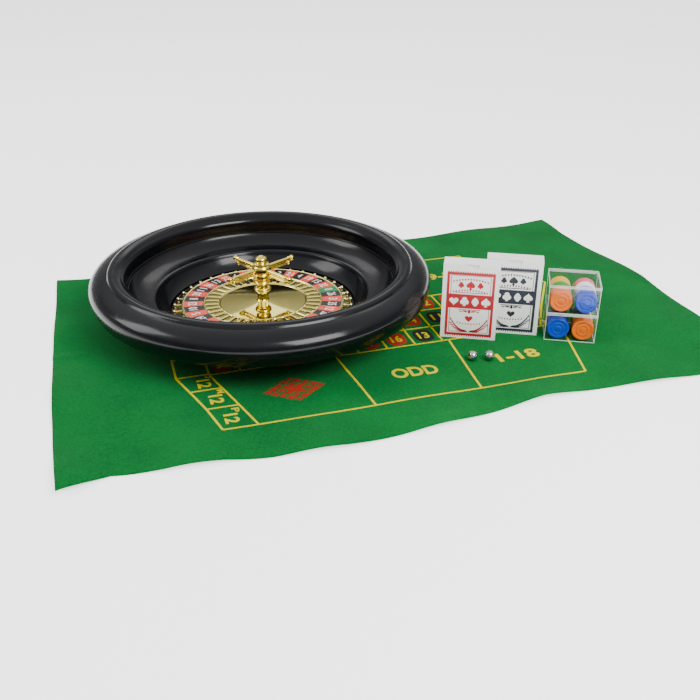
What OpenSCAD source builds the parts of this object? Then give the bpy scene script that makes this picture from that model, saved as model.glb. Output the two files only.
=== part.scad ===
// Roulette set laid out on its felt: wheel, two balls, two card boxes and two cases of chips.
// Origin: the wheel's axis at table level. X runs along the felt, Y away from the players, Z up.

/* [Felt] */
// Length of the felt along X
felt_l = 730; // [700:5:800]
// Width of the felt along Y
felt_w = 476; // [460:2:520]
// Thickness of the felt
felt_t = 1; // [0.8:0.1:1.5]
// Distance from the wheel's axis to the left edge of the felt
felt_left = 245; // [235:1:260]
// Distance from the wheel's axis to the near edge of the felt
felt_near = 292; // [285:1:310]

/* [Wheel bowl] */
// Radius of the bowl's outer lip, half of the wheel's nominal diameter
lip_r = 200; // [196:1:204]
// Height of the crest of the rim above the table
crest_h = 73; // [70:1:76]
// Radius of the crest of the rim
crest_r = 171; // [169:1:172]
// Radius of the opening inside the rim
mouth_r = 157; // [155:1:158]
// Radius of the inner edge of the ball track
track_r = 128; // [126:1:130]
// Radius of the ring that the base stands on
foot_r = 108; // [104:1:110]
// Number of screws that hold the base to the bowl
screw_count = 6; // [4:1:8]

/* [Rotor] */
// Number of pockets and of number cells
pockets = 37; // [37:1:38]
// Radius of the rotor over the pockets
rotor_r = 110; // [109.5:0.1:110.3]
// Outer radius of the gold wall inside the pockets
wall_r = 97.6; // [97:0.1:98]
// Outer radius of the number cells
cell_r = 94.8; // [94:0.1:95]
// Inner radius of the number cells
cell_in_r = 71.5; // [71:0.1:72]
// Inner radius of the ribbed band
rib_in_r = 47.5; // [46:0.5:49]
// Height of the number ring above the table
ring_h = 20; // [19.6:0.1:20.4]
// Radius of the spindle
spindle_r = 4; // [3.8:0.1:4.2]
// Radial running clearance of the spindle in its bush
spindle_gap = 0.05; // [0.02:0.01:0.09]
// Angle at which the turret's first arm stands
arm_angle = 24; // [0:1:45]
// Reach of the turret's arms
arm_reach = 52; // [48:1:54]

/* [Balls] */
// Radius of a ball
ball_r = 5.5; // [5:0.1:6]

/* [Card boxes] */
// Width of a card box
box_w = 63; // [62:0.5:66]
// Depth of a card box
box_d = 18; // [17:0.5:20]
// Height of a card box
box_h = 92; // [91:0.5:94]
// Thickness of the card of the box
card_t = 0.8; // [0.6:0.1:1]
// Length of the tongue that tucks behind the front of the box
tongue_l = 10; // [8:1:10]
// Angle of the card boxes and chip cases to the felt
turn = 27; // [20:1:30]

/* [Chip cases] */
// Width of a chip case
case_w = 57; // [56.4:0.2:60]
// Depth of a chip case
case_d = 50; // [49:0.5:54]
// Height of a chip case's tray
tray_h = 32; // [31:0.5:34]
// Thickness of the case's walls
case_t = 1.5; // [1.3:0.1:1.6]
// Thickness of the case's lid
lid_t = 2; // [1.6:0.1:2.4]
// Radius of a chip
chip_r = 12.5; // [12:0.1:12.6]
// Pitch of the chips along a row
chip_pitch = 1.9; // [1.8:0.05:1.9]
// Radius of the hinge pin
pin_r = 1; // [0.8:0.1:1.1]
// Radial running clearance of the lid's knuckle on its pin
pin_gap = 0.06; // [0.03:0.01:0.09]

/* [Hidden] */
$fn = 96;
hair = 0.02;
cell_step = 360 / pockets;

// Heights of the wheel's inner parts above the table
base_z = felt_t + 1;
base_top = base_z + 3;
well_z = base_top + 2.5;
pan_z = well_z + 1.5;
pan_top = pan_z + 2.5;
core_top = ring_h - 3;
lip_z = crest_h - 19;
skirt_z = lip_z - 15;
washer_t = 0.5;

// Turret levels, counted from the surface of the rotor
deck_z = ring_h - 1.6;
collar_z = deck_z + 14.6;
goblet_z = collar_z + 6;
hub_z = goblet_z + 14;
hub_h = 13;
arm_z = hub_z + 8;
neck_z = hub_z + hub_h;
cap_z = neck_z + 5;
spindle_top = collar_z + 2;

// Screws of the bowl's base
screw_ring_r = 94;
screw_r = 1.6;
screw_head_r = 3.2;
foot_pad_r = 9;
foot_pad_ring_r = 92;

// Places on the felt of the front left corners of the boxes and cases, and of the balls
red_box_at = [182, -119];
black_box_at = [233.6, -121.6];
case_at = [293, -162];
balls_at = [[194, -183], [212, -188]];

// Inside of a card box, from the front: gap, tongue, gap and the pack of cards
tongue_y = card_t + 0.8;
tongue_t = 0.6;
deck_y = tongue_y + tongue_t + 0.4;
box_top = box_h - card_t;
tongue_in = 1.5;
deck_in = 0.6;
deck_back = 0.3;
deck_low = 1.6;
flap_in = 0.2;
notch_r = 8;

// Chip case rows
row_w = (case_w - 3 * case_t) / 2;
row_x = [-(row_w + case_t) / 2, (row_w + case_t) / 2];
hinge_y = case_d + 2.6;
knuckle_r = 2.2;
knuckle_x = 6;
knuckle_l = 12;
lid_knuckle_x = knuckle_x + knuckle_l + 0.4;
chip_t = chip_pitch - 0.05;

felt_at = [-felt_left, -felt_near];
case_step = tray_h + lid_t + hair;
upper_z = felt_t + case_step;

// Points of a curve from a to c that leaves towards b and arrives from b, without its first point
function bend(a, b, c, n) = [for (i = [1 : n]) let (t = i / n)
    (1 - t) * (1 - t) * a + 2 * t * (1 - t) * b + t * t * c];

// Upper face of the bowl from the rotor's well out to the lip's lower edge
track_in = [track_r, 34.5];
track_out = [mouth_r - 1.5, crest_h - 25];
mouth_low = [mouth_r, crest_h - 20];
mouth_top = [mouth_r, crest_h - 11];
crest = [crest_r, crest_h];
groove = [crest_r + 7, crest_h - 3];
lip = [lip_r, lip_z];
skirt = [lip_r - 5, skirt_z];
well_edge = [rotor_r + 1.5, 16];

bowl_face = concat(
    [[rotor_r + 1.5, well_z], well_edge],
    bend(well_edge, [118, 20], [track_r - 3.5, 30], 5),
    [[track_r - 2.5, 33.5], track_in],
    bend(track_in, [147, 35.5], track_out, 10),
    [[mouth_r + 1.5, track_out[1] + 0.5], [mouth_r + 1.5, mouth_low[1]], mouth_low, mouth_top],
    bend(mouth_top, [mouth_r + 1, crest_h - 7], [mouth_r + 4.5, crest_h - 5], 4),
    bend([mouth_r + 4.5, crest_h - 5], [crest_r - 5, crest_h], crest, 6),
    bend(crest, [crest_r + 4, crest_h], [groove[0] - 1, groove[1] + 0.8], 4),
    [[groove[0], groove[1] - 1], [groove[0] + 1.2, groove[1] - 0.6]],
    bend([groove[0] + 1.2, groove[1] - 0.6], [lip_r - 3, crest_h - 7], lip, 10),
    bend(lip, [lip_r, lip_z - 9], skirt, 5)
);

// Inner face of the bowl, from the lip back to the well
bowl_back = concat(
    [[skirt[0] - 3, skirt_z]],
    bend([skirt[0] - 3, skirt_z], [lip_r - 4, lip_z - 8], [lip_r - 3.5, lip_z - 1], 5),
    bend([lip_r - 3.5, lip_z - 1], [lip_r - 6, crest_h - 10.5], [groove[0], crest_h - 8], 8),
    [[crest_r, crest_h - 3.2], [mouth_r + 7, crest_h - 8], [mouth_r + 4.5, crest_h - 12]],
    [[mouth_r + 4.5, track_out[1] - 4]],
    bend([mouth_r + 4.5, track_out[1] - 4], [148, 31.5], [track_r, 30.5], 8),
    bend([track_r, 30.5], [120, 17], [rotor_r + 4.5, 12.5], 4),
    [[rotor_r + 4.5, base_top]]
);

module spin(points) { rotate_extrude($fn = 144) polygon(points); }

module ring(r_in, r_out, z, h) {
    translate([0, 0, z]) difference() {
        cylinder(r = r_out, h = h, $fn = 144);
        translate([0, 0, -1]) cylinder(r = r_in, h = h + 2, $fn = 144);
    }
}

// Felt that everything is laid out on
module felt_layout() {
    color("seagreen") translate(felt_at) cube([felt_l, felt_w, felt_t]);
}

// Upper moulding of the bowl: lip, rim, ball track, lower cone and the rotor's well
module bowl_shell() {
    color("#1d1f24") difference() {
        spin(concat([[12, base_top], [12, well_z]], bowl_face, bowl_back));
        for (i = [0 : screw_count - 1]) rotate(i * 360 / screw_count)
            translate([screw_ring_r, 0, base_top - 1]) cylinder(r = screw_r, h = 2.8, $fn = 32);
    }
}

// Lower moulding of the bowl: floor, spindle boss and the cone that rises under the lip
module bowl_base() {
    top_r = skirt[0] - 3.6;
    color("#232529") difference() {
        spin([
            [spindle_r, base_z], [foot_r, base_z], [foot_r + 6, base_z + 1.2], [top_r, skirt_z - 3],
            [top_r, skirt_z + 4], [top_r - 2.4, skirt_z + 4], [top_r - 2.4, skirt_z - 1.6],
            [foot_r + 7, base_top], [11.5, base_top], [11.5, well_z + 1], [spindle_r, well_z + 1]
        ]);
        for (i = [0 : screw_count - 1]) rotate(i * 360 / screw_count) translate([screw_ring_r, 0, 0]) {
            cylinder(r = screw_r, h = 20, $fn = 32);
            cylinder(r = screw_head_r + 0.2, h = base_z + 1.6, $fn = 32);
        }
        for (i = [0 : 3]) rotate(45 + i * 90) translate([foot_pad_ring_r, 0, 0])
            cylinder(r = foot_pad_r, h = base_z + 1, $fn = 48);
    }
}

// Screws that hold the two mouldings of the bowl together
module base_screws() {
    color("silver") for (i = [0 : screw_count - 1]) rotate(i * 360 / screw_count)
        translate([screw_ring_r, 0, base_z + 0.4]) difference() {
            union() {
                cylinder(r = screw_head_r, h = 1.2, $fn = 32);
                cylinder(r = screw_r, h = base_top - base_z + 1, $fn = 32);
            }
            translate([-2, -0.4, -1]) cube([4, 0.8, 1.5]);
            translate([-0.4, -2, -1]) cube([0.8, 4, 1.5]);
        }
}

// Rubber pads that the bowl stands on
module foot_pads() {
    color("#2b2b2b") for (i = [0 : 3]) rotate(45 + i * 90)
        translate([foot_pad_ring_r, 0, felt_t]) cylinder(r = foot_pad_r, h = 2, $fn = 48);
}

// Steel pin that the rotor turns on, held in the boss of the base
module rotor_spindle() {
    color("lightgray") {
        translate([0, 0, base_z]) cylinder(r = spindle_r, h = spindle_top - base_z - 1);
        translate([0, 0, spindle_top - 1]) cylinder(r1 = spindle_r, r2 = spindle_r - 1, h = 1);
    }
}

// Washer that carries the rotor on the boss
module thrust_washer() {
    color("ivory") ring(spindle_r + 0.1, 8, well_z + 1, washer_t);
}

// Black plate of the rotor that forms the floor of the pockets
module rotor_pan() {
    lip_in = rotor_r - 1.5;
    color("#17181b") spin([
        [7, pan_z], [rotor_r, pan_z], [rotor_r, pan_top + 2], [rotor_r - 0.6, pan_top + 2.6],
        [lip_in, pan_top + 2], [lip_in, pan_top], [7, pan_top]
    ]);
}

// Raised middle of the rotor that carries the number ring and the gold dish
module rotor_core() {
    color("#202227") ring(7, wall_r - 2, pan_top, core_top - pan_top);
}

// Brass bush in the middle of the rotor
module hub_bush() {
    color("goldenrod") ring(spindle_r + spindle_gap, 7, pan_z, core_top - pan_z);
}

// One gold divider between two pockets, with the round post at its outer end
module fret() {
    post_r = 2;
    post_x = rotor_r - 1.5 - post_r;
    translate([wall_r, -0.6, pan_top]) cube([post_x - wall_r, 1.2, 6]);
    translate([post_x, 0, pan_top]) cylinder(r = post_r, h = 7, $fn = 24);
    translate([post_x, 0, pan_top + 7]) sphere(r = post_r, $fn = 24);
}

// Gold dividers between the pockets
module pocket_frets() {
    color("gold") for (i = [0 : pockets - 1]) rotate(i * cell_step) fret();
}

// Gold wall on the inner side of the pockets
module pocket_wall() {
    color("gold") ring(wall_r - 2, wall_r, pan_top, ring_h - 0.8 - pan_top);
}

// Number cell i of the ring, a sector between the two trims
module cell(i) {
    rotate(i * cell_step) rotate_extrude(angle = cell_step, $fn = 144)
        translate([cell_in_r, core_top]) square([cell_r - cell_in_r, ring_h - core_top]);
}

module cells_red() { color("indianred") for (i = [1 : 2 : pockets - 1]) cell(i); }
module cells_black() { color("#1a1a1a") for (i = [2 : 2 : pockets - 1]) cell(i); }
module cell_zero() { color("green") cell(0); }

// Gold edge between the number ring and the pockets
module ring_outer_trim() {
    color("gold") spin([
        [cell_r, core_top], [wall_r - 2, core_top], [wall_r - 2, ring_h - 0.8], [wall_r, ring_h - 0.8],
        [wall_r - 0.4, ring_h + 0.2], [cell_r + 1.2, ring_h + 0.6], [cell_r, ring_h + 0.4]
    ]);
}

// Gold edge between the number ring and the ribs
module ring_inner_trim() {
    color("gold") spin([
        [cell_in_r - 1.8, core_top], [cell_in_r, core_top], [cell_in_r, ring_h + 0.3],
        [cell_in_r - 0.6, ring_h + 0.6], [cell_in_r - 1.4, ring_h + 0.5], [cell_in_r - 1.8, ring_h]
    ]);
}

// Gold plate of the rotor: ribbed band around a smooth shallow dish
module gold_dish() {
    band_out = cell_in_r - 1.8;
    rib_l = band_out - rib_in_r - 1.6;
    color("gold") {
        spin(concat(
            [[8, core_top], [band_out, core_top], [band_out, ring_h - 0.6], [rib_in_r + 1, ring_h - 0.2]],
            bend([rib_in_r + 1, ring_h - 0.2], [rib_in_r, ring_h + 0.5], [rib_in_r - 2, ring_h], 4),
            bend([rib_in_r - 2, ring_h], [28, deck_z], [11, deck_z], 6),
            [[8, deck_z]]
        ));
        for (i = [0 : pockets - 1]) rotate((i + 0.5) * cell_step) translate([rib_in_r + 1, 0, ring_h - 1])
            linear_extrude(1.3) polygon([[0, -2.1], [rib_l, -3.2], [rib_l, 3.2], [0, 2.1]]);
    }
}

// Fluted foot of the turret, bored for the top of the spindle
module turret_column() {
    flutes = 12;
    color("gold") difference() {
        spin([
            [spindle_r + 0.6, deck_z], [10, deck_z], [10, deck_z + 1], [8.4, deck_z + 2.4],
            [7.8, deck_z + 4], [7.8, collar_z], [spindle_r + 0.6, collar_z]
        ]);
        for (i = [0 : flutes - 1]) rotate(i * 360 / flutes) translate([8.4, 0, deck_z + 3.4])
            cylinder(r = 1.3, h = collar_z - deck_z - 4.4, $fn = 16);
    }
}

// Round collar over the column
module turret_collar() {
    color("gold") spin(concat(
        [[spindle_r + 0.6, collar_z], [8.6, collar_z]],
        bend([8.6, collar_z], [13, collar_z + 3], [8.6, goblet_z - 0.6], 8),
        [[6, goblet_z], [0, goblet_z], [0, spindle_top + 0.8], [spindle_r + 0.6, spindle_top + 0.8]]
    ));
}

// Goblet that widens from the collar up to the hub
module turret_goblet() {
    color("gold") spin(concat(
        [[0, goblet_z], [5.4, goblet_z], [4.6, goblet_z + 1.6]],
        bend([4.6, goblet_z + 1.6], [10.6, goblet_z + 3], [10.3, hub_z - 3], 7),
        [[10.6, hub_z - 2.6], [10.6, hub_z - 1.4], [9.6, hub_z], [0, hub_z]]
    ));
}

// Hub that holds the four arms
module turret_hub() {
    color("gold") difference() {
        spin(concat(
            [[0, hub_z], [7.5, hub_z]],
            bend([7.5, hub_z], [10.6, hub_z + 2], [10.4, hub_z + 6], 5),
            bend([10.4, hub_z + 6], [10.4, hub_z + 11], [7, neck_z], 5),
            [[0, neck_z]]
        ));
        for (i = [0 : 3]) rotate(arm_angle + i * 90) translate([8, 0, arm_z])
            rotate([0, 90, 0]) cylinder(r = 2.3, h = 6, $fn = 32);
    }
}

// One arm: a thick rod over a thin one, each with a ball at its end, and a web between them
module arm() {
    rod_r = 2.3;
    low_r = 1.5;
    low_z = arm_z - 4.6;
    translate([8, 0, arm_z]) rotate([0, 90, 0]) cylinder(r = rod_r, h = arm_reach - 10, $fn = 32);
    translate([arm_reach, 0, arm_z]) sphere(r = 3.5, $fn = 40);
    translate([11, 0, low_z]) rotate([0, 90, 0]) cylinder(r = low_r, h = arm_reach - 16, $fn = 24);
    translate([arm_reach - 4, 0, low_z]) sphere(r = 2.4, $fn = 32);
    translate([11, -0.6, low_z]) cube([arm_reach - 14, 1.2, 4.6]);
}

// Four arms of the turret
module turret_arms() {
    color("gold") for (i = [0 : 3]) rotate(arm_angle + i * 90) arm();
}

// Stepped neck over the hub
module turret_neck() {
    color("gold") spin([
        [0, neck_z], [8, neck_z], [8.2, neck_z + 0.8], [7.6, neck_z + 2], [5, neck_z + 2.6],
        [4.6, neck_z + 3.6], [5.6, cap_z], [0, cap_z]
    ]);
}

// Button that tops the turret
module turret_cap() {
    color("gold") spin(concat(
        [[0, cap_z], [5.6, cap_z], [6.6, cap_z + 0.8], [6.6, cap_z + 2.2]],
        bend([6.6, cap_z + 2.2], [6.4, cap_z + 4.6], [3.4, cap_z + 5.6], 5),
        [[3, cap_z + 6.4], [0, cap_z + 6.8]]
    ));
}

module ball(at) {
    color("lightgray") translate([at[0], at[1], felt_t + ball_r]) sphere(r = ball_r, $fn = 64);
}

module ball_left() { ball(balls_at[0]); }
module ball_right() { ball(balls_at[1]); }

// Puts a piece drawn from its front left corner on the felt at a place
module set_at(at, z) { translate([at[0], at[1], z]) rotate(-turn) children(); }

// Card box without its flap, with the thumb notch in the front
module carton() {
    difference() {
        cube([box_w, box_d, box_top]);
        translate([card_t, card_t, card_t]) cube([box_w - 2 * card_t, box_d - 2 * card_t, box_h]);
        translate([box_w / 2, -1, box_top]) rotate([-90, 0, 0]) cylinder(r = notch_r, h = card_t + 2, $fn = 48);
    }
}

// Top flap, hinged on the box's back edge
module flap() {
    translate([flap_in, flap_in, box_top]) cube([box_w - 2 * flap_in, box_d - flap_in, card_t]);
}

// Tongue on the flap's front edge, tucked down behind the front of the box
module tongue() {
    translate([card_t + tongue_in, tongue_y, box_top - tongue_l])
        cube([box_w - 2 * (card_t + tongue_in), tongue_t, tongue_l - hair]);
}

// Pack of cards that fills the box
module deck() {
    translate([card_t + deck_in, deck_y, card_t])
        cube([box_w - 2 * (card_t + deck_in), box_d - card_t - deck_back - deck_y, box_top - card_t - deck_low]);
}

module red_carton() { color("white") set_at(red_box_at, felt_t) carton(); }
module red_flap() { color("white") set_at(red_box_at, felt_t) flap(); }
module red_tongue() { color("white") set_at(red_box_at, felt_t) tongue(); }
module red_deck() { color("snow") set_at(red_box_at, felt_t) deck(); }
module black_carton() { color("white") set_at(black_box_at, felt_t) carton(); }
module black_flap() { color("white") set_at(black_box_at, felt_t) flap(); }
module black_tongue() { color("white") set_at(black_box_at, felt_t) tongue(); }
module black_deck() { color("snow") set_at(black_box_at, felt_t) deck(); }

// Knuckle of the hinge between x = from and x = from + l, joined to the case by a web
module knuckle(from, l, bore, web_z, web_h) {
    difference() {
        union() {
            translate([from, hinge_y, tray_h]) rotate([0, 90, 0]) cylinder(r = knuckle_r, h = l, $fn = 40);
            translate([from, case_d - 0.5, web_z]) cube([l, hinge_y - case_d + 0.5, web_h]);
        }
        translate([from - 1, hinge_y, tray_h]) rotate([0, 90, 0]) cylinder(r = bore, h = l + 2, $fn = 40);
    }
}

// Clear tray with two rows for chips and the outer knuckles of its hinge
module tray() {
    color("honeydew", 0.4) {
        difference() {
            cube([case_w, case_d, tray_h]);
            for (x = row_x) translate([case_w / 2 + x - row_w / 2, case_t, case_t])
                cube([row_w, case_d - 2 * case_t, tray_h]);
        }
        for (x = [knuckle_x, case_w - knuckle_x - knuckle_l])
            knuckle(x, knuckle_l, pin_r, tray_h - 6, 4.4);
    }
}

// Clear lid with the middle knuckle of the hinge
module lid() {
    color("honeydew", 0.4) {
        translate([0, 0, tray_h]) cube([case_w, case_d, lid_t]);
        knuckle(lid_knuckle_x, case_w - 2 * lid_knuckle_x, pin_r + pin_gap, tray_h + 0.4, lid_t - 0.4);
    }
}

// Pin through the knuckles of the hinge
module hinge_pin() {
    color("lightgray") translate([knuckle_x, hinge_y, tray_h]) rotate([0, 90, 0])
        cylinder(r = pin_r, h = case_w - 2 * knuckle_x, $fn = 40);
}

// Chips first to last of the row on one side of the tray, counted from the front
module chips(side, first, last) {
    for (i = [first : last])
        translate([case_w / 2 + row_x[side], case_t + 0.4 + i * chip_pitch, case_t + chip_r])
            rotate([-90, 0, 0]) cylinder(r = chip_r, h = chip_t, $fn = 64);
}

module lower() { set_at(case_at, felt_t) children(); }
module upper() { set_at(case_at, upper_z) children(); }

module lower_tray() { lower() tray(); }
module lower_lid() { lower() lid(); }
module lower_hinge_pin() { lower() hinge_pin(); }
module lower_chips_blue() { color("royalblue") lower() chips(0, 0, 7); }
module lower_chips_violet() { color("mediumorchid") lower() chips(0, 8, 15); }
module lower_chips_green() { color("mediumseagreen") lower() chips(0, 16, 23); }
module lower_chips_orange() { color("orange") lower() chips(1, 0, 7); }
module lower_chips_yellow() { color("gold") lower() chips(1, 8, 15); }
module lower_chips_white() { color("white") lower() chips(1, 16, 23); }
module upper_tray() { upper() tray(); }
module upper_lid() { upper() lid(); }
module upper_hinge_pin() { upper() hinge_pin(); }
module upper_chips_orange() { color("orange") upper() chips(0, 0, 9); }
module upper_chips_green() { color("mediumseagreen") upper() chips(0, 10, 15); }
module upper_chips_yellow() { color("gold") upper() chips(0, 16, 23); }
module upper_chips_blue() { color("royalblue") upper() chips(1, 0, 6); }
module upper_chips_lavender() { color("lavender") upper() chips(1, 7, 11); }
module upper_chips_white() { color("white") upper() chips(1, 12, 17); }
module upper_chips_pink() { color("pink") upper() chips(1, 18, 23); }

felt_layout();
bowl_shell();
bowl_base();
base_screws();
foot_pads();
rotor_spindle();
thrust_washer();
rotor_pan();
rotor_core();
hub_bush();
pocket_frets();
pocket_wall();
cells_red();
cells_black();
cell_zero();
ring_outer_trim();
ring_inner_trim();
gold_dish();
turret_column();
turret_collar();
turret_goblet();
turret_hub();
turret_arms();
turret_neck();
turret_cap();
ball_left();
ball_right();
red_carton();
red_flap();
red_tongue();
red_deck();
black_carton();
black_flap();
black_tongue();
black_deck();
lower_tray();
lower_lid();
lower_hinge_pin();
lower_chips_blue();
lower_chips_violet();
lower_chips_green();
lower_chips_orange();
lower_chips_yellow();
lower_chips_white();
upper_tray();
upper_lid();
upper_hinge_pin();
upper_chips_orange();
upper_chips_green();
upper_chips_yellow();
upper_chips_blue();
upper_chips_lavender();
upper_chips_white();
upper_chips_pink();
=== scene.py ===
import math
import bpy
import numpy as np
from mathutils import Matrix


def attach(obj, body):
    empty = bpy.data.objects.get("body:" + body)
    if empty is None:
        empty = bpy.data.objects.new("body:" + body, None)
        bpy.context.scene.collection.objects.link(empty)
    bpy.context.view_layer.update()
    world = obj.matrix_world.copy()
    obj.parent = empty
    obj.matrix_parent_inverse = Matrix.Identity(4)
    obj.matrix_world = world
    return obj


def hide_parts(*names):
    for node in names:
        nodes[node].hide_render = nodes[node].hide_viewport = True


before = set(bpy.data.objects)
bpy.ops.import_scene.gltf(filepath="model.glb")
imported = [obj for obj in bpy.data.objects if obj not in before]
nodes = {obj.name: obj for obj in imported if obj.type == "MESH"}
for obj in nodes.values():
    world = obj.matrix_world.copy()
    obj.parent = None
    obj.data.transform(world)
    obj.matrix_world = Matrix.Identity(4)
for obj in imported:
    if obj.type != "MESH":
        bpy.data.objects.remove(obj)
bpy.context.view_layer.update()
mm = 0.001  # pieces are worked out in mm, on the frame's axes
standTurn = -27  # the card boxes and the chip cases stand at one angle on the felt, in degrees
print("frame loaded:", len(nodes), "nodes")


# one output of a shader node, so that sums on values are written as plain sums
class Sock:
    def __init__(self, shade, out):
        self.shade = shade
        self.out = out

    # a Math node: this value first, then the others
    def math(self, kind, *others):
        return self.shade.node("ShaderNodeMath", {"operation": kind}, [self, *others])

    def __add__(self, other):
        return self.math("ADD", other)

    def __mul__(self, other):
        return self.math("MULTIPLY", other)

    def __sub__(self, other):
        return self.math("SUBTRACT", other)

    # a number minus this value
    def __rsub__(self, other):
        return self.shade.node("ShaderNodeMath", {"operation": "SUBTRACT"}, [other, self])

    __radd__ = __add__
    __rmul__ = __mul__


# the node tree of a material or of the world, with the shader that it ends in
class Shade:
    def __init__(self, owner, shader, **fixed):
        owner.use_nodes = True
        self.owner = owner
        self.tree = owner.node_tree
        self.shader = self.tree.nodes[shader]
        for key, value in fixed.items():
            self.shader.inputs[key.replace("_", " ")].default_value = value

    # the one method that adds a node: settings, then values or links by socket; gives one or more outputs
    def node(self, kind, settings=None, sockets=(), out=0):
        fresh = self.tree.nodes.new(kind)
        for key, value in (settings or {}).items():
            if key == "stops":
                self.setStops(fresh.color_ramp.elements, value)
            else:
                setattr(fresh, key, value)
        for key, value in sockets.items() if isinstance(sockets, dict) else enumerate(sockets):
            if isinstance(value, Sock):
                self.tree.links.new(value.out, fresh.inputs[key])
            else:
                fresh.inputs[key].default_value = value
        if isinstance(out, tuple):
            return [Sock(self, fresh.outputs[k]) for k in out]
        return Sock(self, fresh.outputs[out])

    # a ramp's stops, as (place, colour) in rising order
    def setStops(self, marks, stops):
        while len(marks) < len(stops):
            marks.new(0.5)
        for mark, (at, colour) in zip(marks, stops):
            mark.position = at
            mark.color = (*colour, 1.0)

    # the place on the piece, in metres
    def place(self):
        return self.node("ShaderNodeTexCoord", out="Object")

    # cloudy noise with so many clouds in a metre
    def noise(self, scale, detail=3.0, rough=0.55):
        sockets = {"Vector": self.place(), "Scale": scale, "Detail": detail, "Roughness": rough}
        return self.node("ShaderNodeTexNoise", None, sockets)

    # a value moved from one range to another, held at both ends
    def span(self, value, low, high, toLow=0.0, toHigh=1.0):
        return self.node("ShaderNodeMapRange", None, [value, low, high, toLow, toHigh])

    # a colour from a value
    def ramp(self, value, stops):
        return self.node("ShaderNodeValToRGB", {"stops": stops}, [value])

    # two values by a share: the second one, plus the share of their difference
    def blend(self, first, second, share):
        return (first - second) * share + second

    # links a value to a socket of the shader
    def feed(self, socket, value):
        self.tree.links.new(value.out, self.shader.inputs[socket])

    # the colour by a noise: dark times itself where it is low, itself where it is high
    def tint(self, noise, colour, dark):
        low, high = noiseEnds
        self.feed("Base Color", self.ramp(noise, [(low, mixed(colour, dark)), (high, colour)]))

    # the roughness by a noise, from the first value to the second
    def matt(self, noise, ends):
        self.feed("Roughness", self.span(noise, *noiseEnds, *ends))

    # relief from a height of 0 to 1 that stands for a depth in metres
    def bump(self, height, strength=0.3, depth=0.0005):
        sockets = {"Height": height, "Strength": strength, "Distance": depth}
        self.feed("Normal", self.node("ShaderNodeBump", None, sockets))


# a material that ends in one Principled shader
def material(name, **fixed):
    return Shade(bpy.data.materials.new(name), "Principled BSDF", **fixed)


# a colour times a factor, no part over 1
def mixed(colour, factor):
    return tuple(min(1.0, part * factor) for part in colour)


noiseEnds = (0.3, 0.7)  # nearly all of a noise lies between these values


# a moulded or polished surface: cloudy colour, roughness by a noise three times as fine, faint relief
def surface(name, colour, rough, vary, scale, relief, grain, fixed):
    shade = material(name, **fixed)
    shade.tint(shade.noise(scale, 4), colour, vary)
    shade.matt(shade.noise(scale * 3, 5), rough)
    if relief:
        shade.bump(shade.noise(grain, 2), relief, 0.0002)
    return shade.owner


metal = {"Metallic": 1.0}
# colour, roughness, how dark its clouds are, clouds in a metre, relief and its grain, other inputs
finishSpec = {
    "blackBowl": [(0.0022, 0.0025, 0.004), (0.15, 0.24), 0.7, 25, 0.02, 900,
                  {"Specular_IOR_Level": 0.24, "Coat_Weight": 0.1, "Coat_Roughness": 0.08}],
    "blackPlastic": [(0.006, 0.006, 0.008), (0.25, 0.4), 0.7, 40, 0.1, 1200, {}],
    "polishedGold": [(0.84, 0.68, 0.14), (0.07, 0.16), 0.85, 90, 0.03, 700, metal],
    "paleGold": [(0.9, 0.79, 0.32), (0.16, 0.3), 0.85, 120, 0.05, 900, metal],
    "dishGold": [(0.86, 0.74, 0.2), (0.03, 0.07), 0.9, 70, 0.02, 500, metal],
    # painted shade: a near-black gold for the narrow gaps between the dish's ribs
    "ribGapShade": [(0.05, 0.032, 0.008), (0.3, 0.45), 0.6, 120, 0.05, 900, metal],
    "steel": [(0.55, 0.55, 0.58), (0.03, 0.08), 0.85, 200, 0.0, 500, metal],
    "dullSteel": [(0.55, 0.55, 0.57), (0.25, 0.4), 0.85, 200, 0.1, 900, metal],
    "brass": [(0.78, 0.55, 0.22), (0.2, 0.35), 0.85, 200, 0.1, 900, metal],
    "rubber": [(0.03, 0.03, 0.03), (0.7, 0.9), 0.7, 200, 0.3, 1500, {}],
    "nylon": [(0.75, 0.72, 0.62), (0.4, 0.55), 0.9, 150, 0.1, 900, {}],
    "cellRed": [(0.78, 0.075, 0.035), (0.18, 0.3), 0.85, 80, 0.04, 900, {"Coat_Weight": 0.2}],
    "cellBlack": [(0.007, 0.006, 0.006), (0.2, 0.32), 0.7, 80, 0.04, 900, {"Coat_Weight": 0.2}],
    "cellGreen": [(0.012, 0.22, 0.06), (0.2, 0.32), 0.8, 80, 0.04, 900, {"Coat_Weight": 0.3}],
    "digitWhite": [(0.82, 0.8, 0.74), (0.4, 0.55), 0.9, 300, 0.05, 1500, {}],
    "inkRed": [(0.5, 0.012, 0.025), (0.3, 0.45), 0.88, 140, 0.05, 1200, {}],
    "inkNavy": [(0.022, 0.024, 0.045), (0.3, 0.45), 0.75, 140, 0.05, 1200, {}],
    # painted highlight: pale opaque bars along the clear cases' edges
    "clearEdgeHighlight": [(0.84, 0.93, 0.87), (0.12, 0.28), 0.86, 200, 0.05, 900, {}],
}
mats = {name: surface(name, *finish) for name, finish in finishSpec.items()}

chipFinish = [(0.28, 0.42), 0.86, 110, 0.12, 1100, {"Subsurface_Weight": 0.08, "Subsurface_Scale": 0.002}]
chipColours = {
    "blue": (0.004, 0.05, 0.56), "violet": (0.36, 0.06, 0.66), "green": (0.0, 0.3, 0.03),
    "orange": (0.9, 0.15, 0.0), "yellow": (0.85, 0.5, 0.0), "white": (0.9, 0.9, 0.88),
    "lavender": (0.42, 0.38, 0.82), "pink": (0.85, 0.12, 0.22),
}
for tint, colour in chipColours.items():
    mats["chip_" + tint] = surface("chip_" + tint, colour, *chipFinish)

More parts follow.
